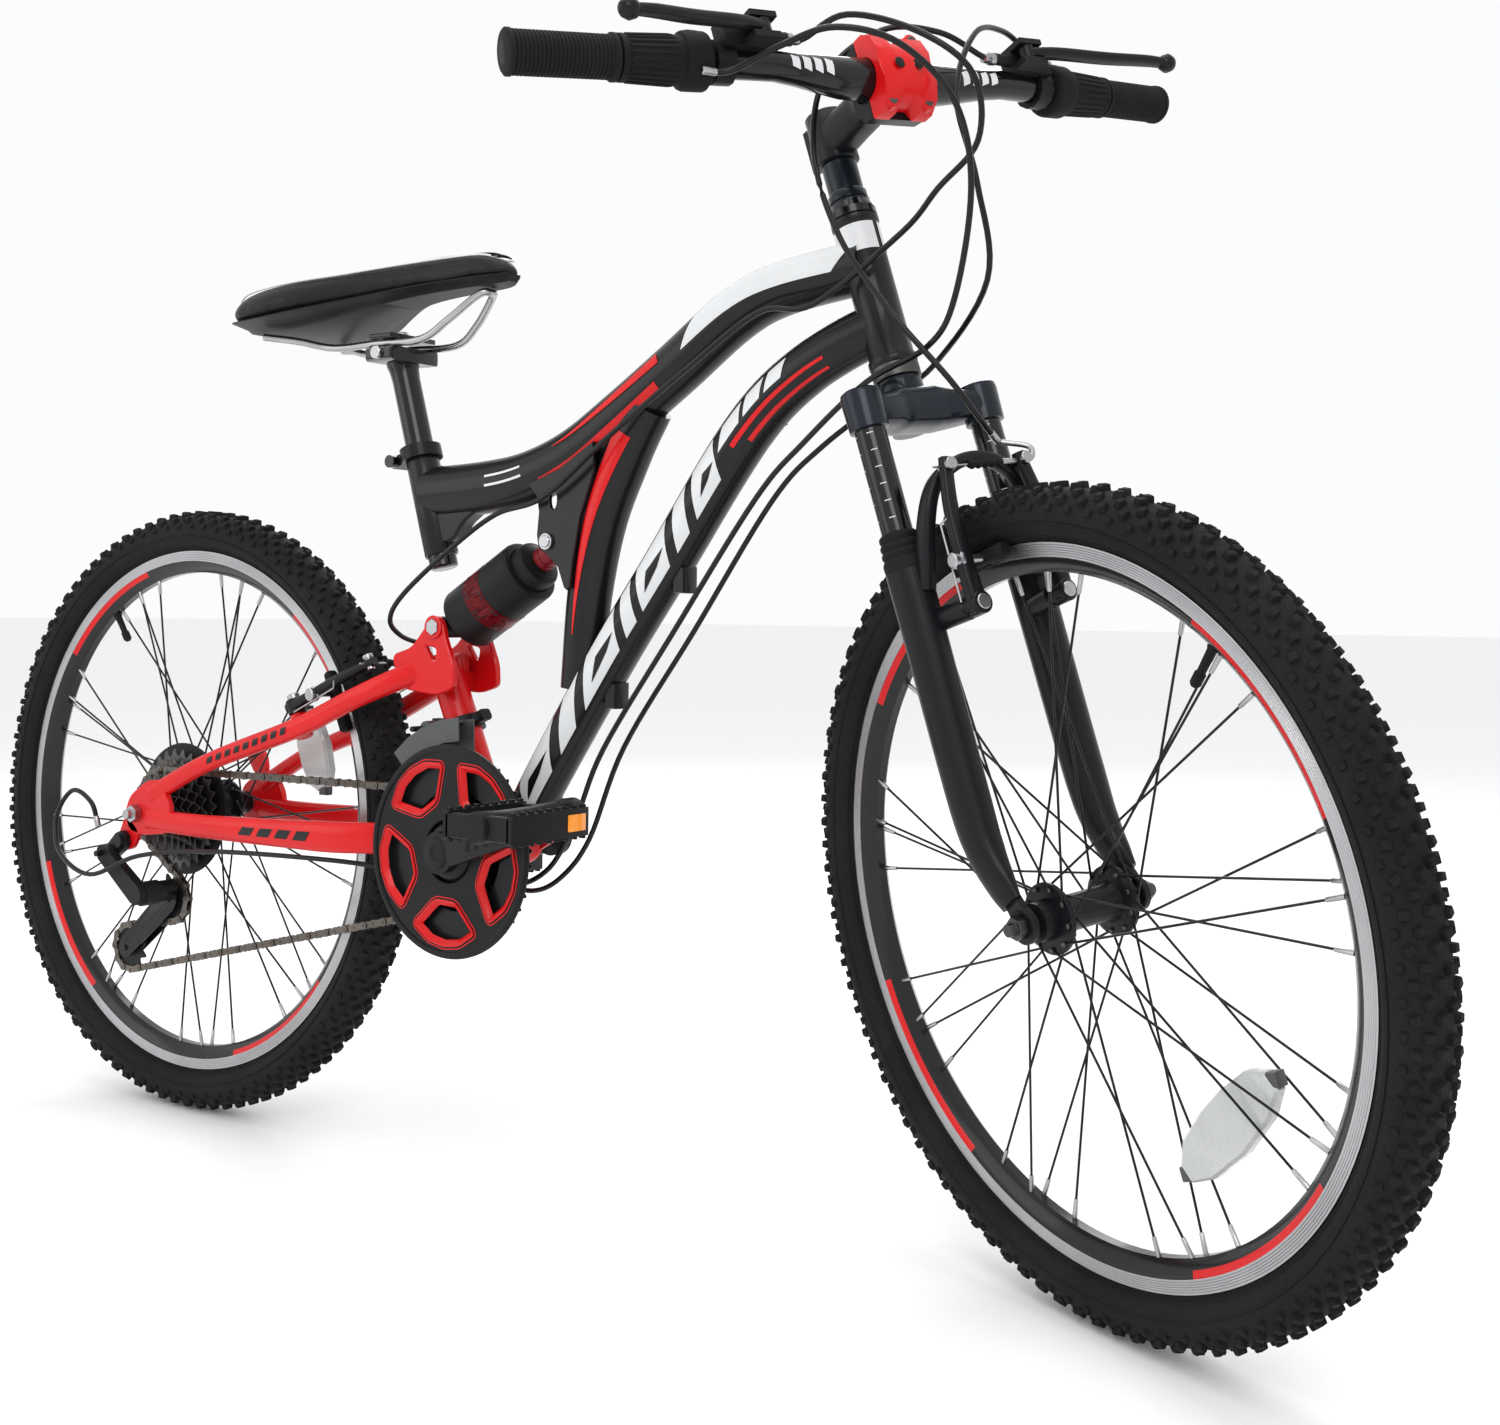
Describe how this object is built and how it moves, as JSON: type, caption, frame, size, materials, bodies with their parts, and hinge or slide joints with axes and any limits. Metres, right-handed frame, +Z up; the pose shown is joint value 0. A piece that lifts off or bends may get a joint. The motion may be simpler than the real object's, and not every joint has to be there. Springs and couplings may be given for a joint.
{
  "type": "mountain bike",
  "caption": "Full-suspension mountain bike with a rear shock, telescopic fork, derailleurs, rim brakes and wire-spoked wheels, its handlebar turned to the right.",
  "frame": {"origin": "where the rear tyre meets the ground", "axes": "+X forwards along the frame, +Y to the rider's left, +Z up"},
  "size_m": [1.5686, 0.561, 0.9646],
  "materials": {
    "frame_black": "satin black paint",
    "arm_red": "bright red gloss paint",
    "part_black": "black anodised",
    "shock_black": "gloss black with a dark red band",
    "plastic_black": "moulded",
    "rubber_black": "soft",
    "tyre_black": "knobby",
    "rim_black": "black with silver braking tracks",
    "steel": "zinc plated",
    "steel_dark": "blackened",
    "saddle_skin": "synthetic, matt"
  },
  "bodies": {
    "frame": {"main_frame": "frame_black", "headset_upper": "steel_dark", "headset_lower": "steel_dark", "main_pivot_bolt": "steel_dark", "seat_clamp": "part_black", "rear_brake_cable": "rubber_black", "rear_shift_cable": "rubber_black", "front_shift_cable": "rubber_black"},
    "seat_lever": {"seat_clamp_lever": "steel"},
    "saddle": {"seatpost": "part_black", "saddle_rails": "steel", "saddle_shell": "plastic_black", "saddle_pad": "saddle_skin"},
    "swingarm": {"swingarm": "arm_red", "bottom_bracket": "steel_dark", "rear_axle": "steel", "shock_lower_bolt": "steel", "front_derailleur": "part_black", "rear_derailleur": "part_black", "chain": "steel_dark"},
    "shock_body": {"shock_body": "shock_black"},
    "shock_shaft": {"shock_shaft": "shock_black"},
    "crank": {"crank_spindle": "steel", "chainset": "part_black", "chain_guard": "plastic_black", "crank_arm_left": "part_black"},
    "pedal_right": {"pedal_right": "plastic_black"},
    "pedal_left": {"pedal_left": "plastic_black"},
    "rear_wheel": {"rear_tyre": "tyre_black", "rear_rim": "rim_black", "rear_hub": "part_black"},
    "freewheel": {"freewheel": "steel_dark"},
    "mech_link": {"rear_derailleur_link": "plastic_black"},
    "mech_cage": {"rear_derailleur_cage": "steel"},
    "guide_pulley": {"guide_pulley": "plastic_black"},
    "tension_pulley": {"tension_pulley": "plastic_black"},
    "front_cage": {"front_derailleur_cage": "steel"},
    "rear_brake_right": {"rear_brake_arm_right": "part_black"},
    "rear_brake_left": {"rear_brake_arm_left": "part_black"},
    "steering": {"fork_crown": "part_black", "stem": "part_black", "stem_faceplate": "arm_red", "handlebar": "part_black", "grip_right": "rubber_black", "grip_left": "rubber_black", "lever_bracket_right": "part_black", "lever_bracket_left": "part_black", "front_brake_cable": "rubber_black"},
    "fork": {"fork_lowers": "frame_black", "front_axle": "steel"},
    "front_wheel": {"front_tyre": "tyre_black", "front_rim": "rim_black", "front_hub": "part_black"},
    "front_brake_right": {"front_brake_arm_right": "part_black"},
    "front_brake_left": {"front_brake_arm_left": "part_black"},
    "shifter_right": {"twist_shifter_right": "rubber_black"},
    "shifter_left": {"twist_shifter_left": "rubber_black"},
    "lever_right": {"brake_lever_right": "part_black"},
    "lever_left": {"brake_lever_left": "part_black"}
  },
  "joints": [
    {"name": "seatpost_height", "type": "slide", "parent": "frame", "child": "saddle", "axis": [-0.2924, 0, 0.9563], "range_m": [-0.01, 0.05]},
    {"name": "seat_clamp_lever_turn", "type": "hinge", "parent": "frame", "child": "seat_lever", "pos_m": [0.28579, 0, 0.64089], "axis": [0, -1, 0], "range_deg": [0, 150]},
    {"name": "rear_suspension", "type": "hinge", "parent": "frame", "child": "swingarm", "pos_m": [0.462, 0, 0.322], "axis": [0, 1, 0], "range_deg": [0, 8], "stiffness_Nm_per_rad": 4000, "deforming": ["rear_brake_cable", "rear_shift_cable", "front_shift_cable"]},
    {"name": "shock_turn", "type": "hinge", "parent": "frame", "child": "shock_body", "pos_m": [0.487, 0, 0.564], "axis": [0, 1, 0], "range_deg": [-2, 2]},
    {"name": "shock_travel", "type": "slide", "parent": "shock_body", "child": "shock_shaft", "axis": [0.8593, 0, 0.5115], "range_m": [0, 0.03]},
    {"name": "crank_turn", "type": "hinge", "parent": "swingarm", "child": "crank", "pos_m": [0.416, 0, 0.2975], "axis": [0, 1, 0], "continuous": true},
    {"name": "pedal_right_turn", "type": "hinge", "parent": "crank", "child": "pedal_right", "pos_m": [0.5698, 0, 0.3416], "axis": [0, 1, 0], "continuous": true},
    {"name": "pedal_left_turn", "type": "hinge", "parent": "crank", "child": "pedal_left", "pos_m": [0.2622, 0, 0.2534], "axis": [0, 1, 0], "continuous": true},
    {"name": "rear_wheel_turn", "type": "hinge", "parent": "swingarm", "child": "rear_wheel", "pos_m": [0, 0, 0.301], "axis": [0, 1, 0], "continuous": true},
    {"name": "freewheel_turn", "type": "hinge", "parent": "swingarm", "child": "freewheel", "pos_m": [0, 0, 0.301], "axis": [0, 1, 0], "continuous": true},
    {"name": "rear_derailleur_pivot", "type": "hinge", "parent": "swingarm", "child": "mech_link", "pos_m": [-0.0326, -0.079, 0.2612], "axis": [0, 1, 0], "range_deg": [-4, 10], "stiffness_Nm_per_rad": 6, "deforming": ["chain", "rear_shift_cable"]},
    {"name": "rear_derailleur_cage_turn", "type": "hinge", "parent": "mech_link", "child": "mech_cage", "pos_m": [0.0205, -0.079, 0.225], "axis": [0, 1, 0], "range_deg": [-10, 20], "stiffness_Nm_per_rad": 3, "deforming": ["chain"]},
    {"name": "guide_pulley_turn", "type": "hinge", "parent": "mech_cage", "child": "guide_pulley", "pos_m": [0.0165, -0.039, 0.215], "axis": [0, 1, 0], "continuous": true},
    {"name": "tension_pulley_turn", "type": "hinge", "parent": "mech_cage", "child": "tension_pulley", "pos_m": [-0.05, -0.039, 0.16], "axis": [0, 1, 0], "continuous": true},
    {"name": "front_derailleur_shift", "type": "slide", "parent": "swingarm", "child": "front_cage", "axis": [0, -1, 0], "range_m": [0, 0.014]},
    {"name": "rear_brake_right_turn", "type": "hinge", "parent": "swingarm", "child": "rear_brake_right", "pos_m": [0.20156, -0.04, 0.39285], "axis": [-0.4147, 0, 0.91], "range_deg": [0, 3], "deforming": ["rear_brake_cable"]},
    {"name": "rear_brake_left_turn", "type": "hinge", "parent": "swingarm", "child": "rear_brake_left", "pos_m": [0.20156, 0.04, 0.39285], "axis": [0.4147, 0, -0.91], "range_deg": [0, 3], "deforming": ["rear_brake_cable"]},
    {"name": "steering_turn", "type": "hinge", "parent": "frame", "child": "steering", "pos_m": [0.94958, 0, 0.28787], "axis": [-0.309, 0, 0.9511], "range_deg": [-36, 84], "deforming": ["rear_brake_cable", "rear_shift_cable", "front_shift_cable"]},
    {"name": "fork_travel", "type": "slide", "parent": "steering", "child": "fork", "axis": [-0.309, 0, 0.9511], "range_m": [0, 0.05], "stiffness_N_per_m": 6000, "deforming": ["front_brake_cable"]},
    {"name": "front_wheel_turn", "type": "hinge", "parent": "fork", "child": "front_wheel", "pos_m": [0.98651, -0.01729, 0.29986], "axis": [0.3868, 0.9135, 0.1257], "continuous": true},
    {"name": "front_brake_right_turn", "type": "hinge", "parent": "fork", "child": "front_brake_right", "pos_m": [0.90823, -0.05647, 0.50733], "axis": [-0.8688, 0.4067, -0.2823], "range_deg": [0, 3], "deforming": ["front_brake_cable"]},
    {"name": "front_brake_left_turn", "type": "hinge", "parent": "fork", "child": "front_brake_left", "pos_m": [0.93918, 0.01661, 0.51739], "axis": [0.8688, -0.4067, 0.2823], "range_deg": [0, 3], "deforming": ["front_brake_cable"]},
    {"name": "twist_shifter_right_turn", "type": "hinge", "parent": "steering", "child": "shifter_right", "pos_m": [0.75059, -0.20511, 0.88383], "axis": [0.4905, 0.8633, 0.1187], "range_deg": [-60, 60], "deforming": ["rear_shift_cable"]},
    {"name": "brake_lever_right_pull", "type": "hinge", "parent": "steering", "child": "lever_right", "pos_m": [0.80026, -0.15625, 0.91246], "axis": [0.309, 0, -0.9511], "range_deg": [0, 14], "stiffness_Nm_per_rad": 2, "deforming": ["rear_brake_cable"]},
    {"name": "twist_shifter_left_turn", "type": "hinge", "parent": "steering", "child": "shifter_left", "pos_m": [0.89715, 0.14103, 0.93146], "axis": [0.278, 0.9516, 0.131], "range_deg": [-60, 60], "deforming": ["front_shift_cable"]},
    {"name": "brake_lever_left_pull", "type": "hinge", "parent": "steering", "child": "lever_left", "pos_m": [0.89465, 0.06665, 0.94313], "axis": [-0.309, 0, 0.9511], "range_deg": [0, 14], "stiffness_Nm_per_rad": 2, "deforming": ["front_brake_cable"]}
  ],
  "couplings": [
    {"joint": "shock_turn", "follows": "rear_suspension", "ratio": -0.10243},
    {"joint": "shock_travel", "follows": "rear_suspension", "m_per_rad": 0.19454},
    {"joint": "freewheel_turn", "follows": "crank_turn", "ratio": 1.2},
    {"joint": "guide_pulley_turn", "follows": "crank_turn", "ratio": -2.1818},
    {"joint": "tension_pulley_turn", "follows": "crank_turn", "ratio": 2.1818},
    {"joint": "rear_brake_right_turn", "follows": "brake_lever_right_pull", "ratio": 0.21429},
    {"joint": "rear_brake_left_turn", "follows": "brake_lever_right_pull", "ratio": 0.21429},
    {"joint": "front_brake_right_turn", "follows": "brake_lever_left_pull", "ratio": 0.21429},
    {"joint": "front_brake_left_turn", "follows": "brake_lever_left_pull", "ratio": 0.21429}
  ]
}
